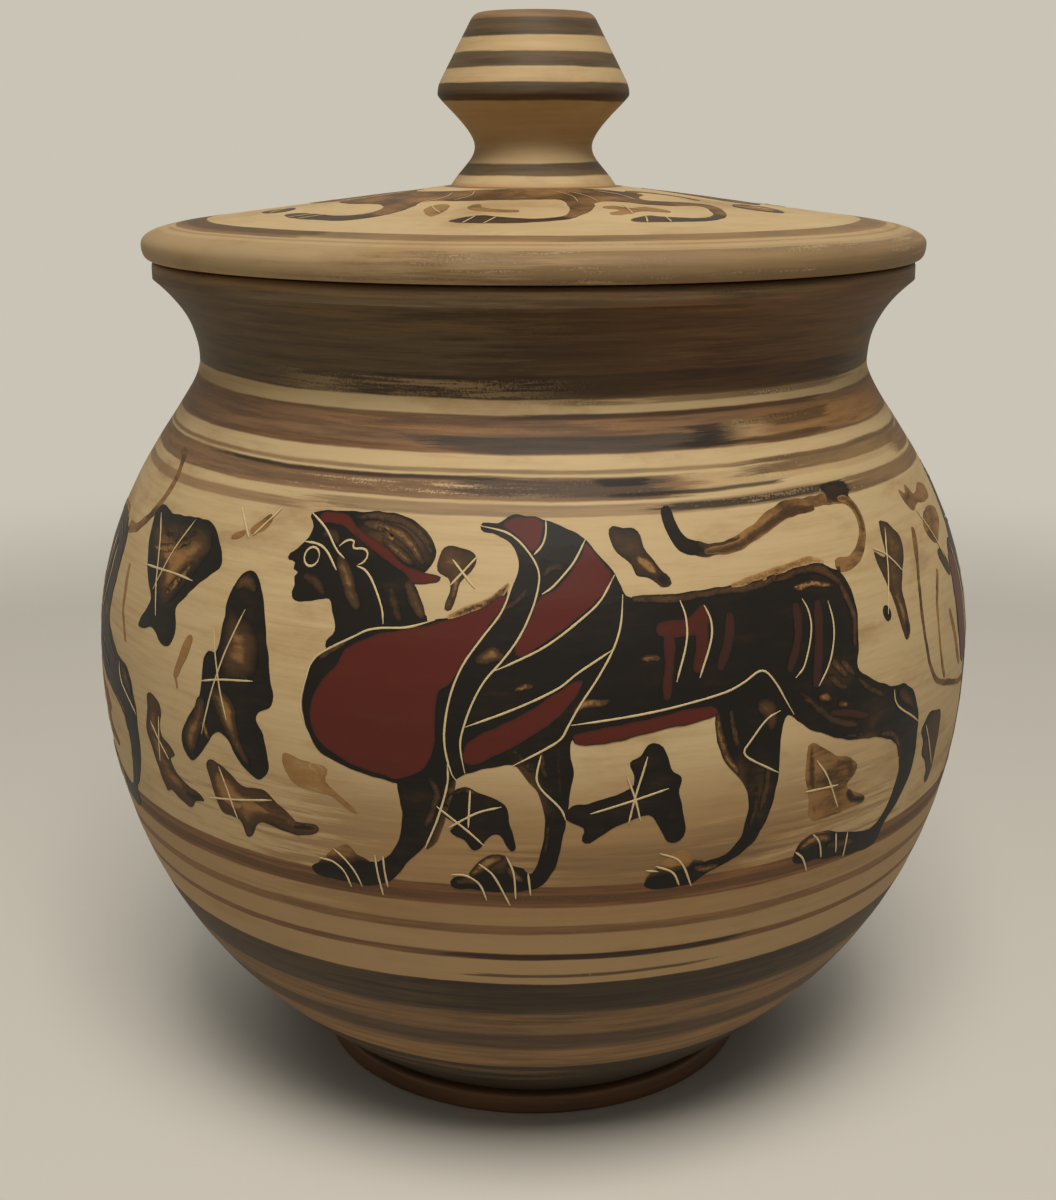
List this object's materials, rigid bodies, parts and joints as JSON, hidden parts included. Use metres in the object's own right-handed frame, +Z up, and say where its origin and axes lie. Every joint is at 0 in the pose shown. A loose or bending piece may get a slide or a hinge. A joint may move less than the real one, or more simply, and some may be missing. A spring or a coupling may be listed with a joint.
{
  "type": "lidded jar",
  "caption": "Round-bellied earthenware jar on a ring foot, with a flared neck and a loose lid with a turned knob; slip-painted bands and a frieze of winged lions.",
  "frame": {"origin": "on the table, under the jar's axis", "axes": "+Z up along the axis the jar was thrown on; -Y faces the viewer who sees the middle of one painted figure"},
  "size_m": [0.168, 0.168, 0.2004],
  "materials": {
    "painted_clay": "buff earthenware with matte painted slip",
    "red_clay": "matte red-brown slip",
    "bare_clay": "bare fired clay"
  },
  "bodies": {
    "jar": {"jar_body": "painted_clay", "foot_ring": "red_clay"},
    "lid": {"lid_plate": "painted_clay", "lid_flange": "bare_clay", "lid_knob": "painted_clay"}
  },
  "joints": [
    {"name": "lid_lift", "type": "slide", "parent": "jar", "child": "lid", "axis": [0, 0, 1], "range_m": [0, 0.12]}
  ]
}
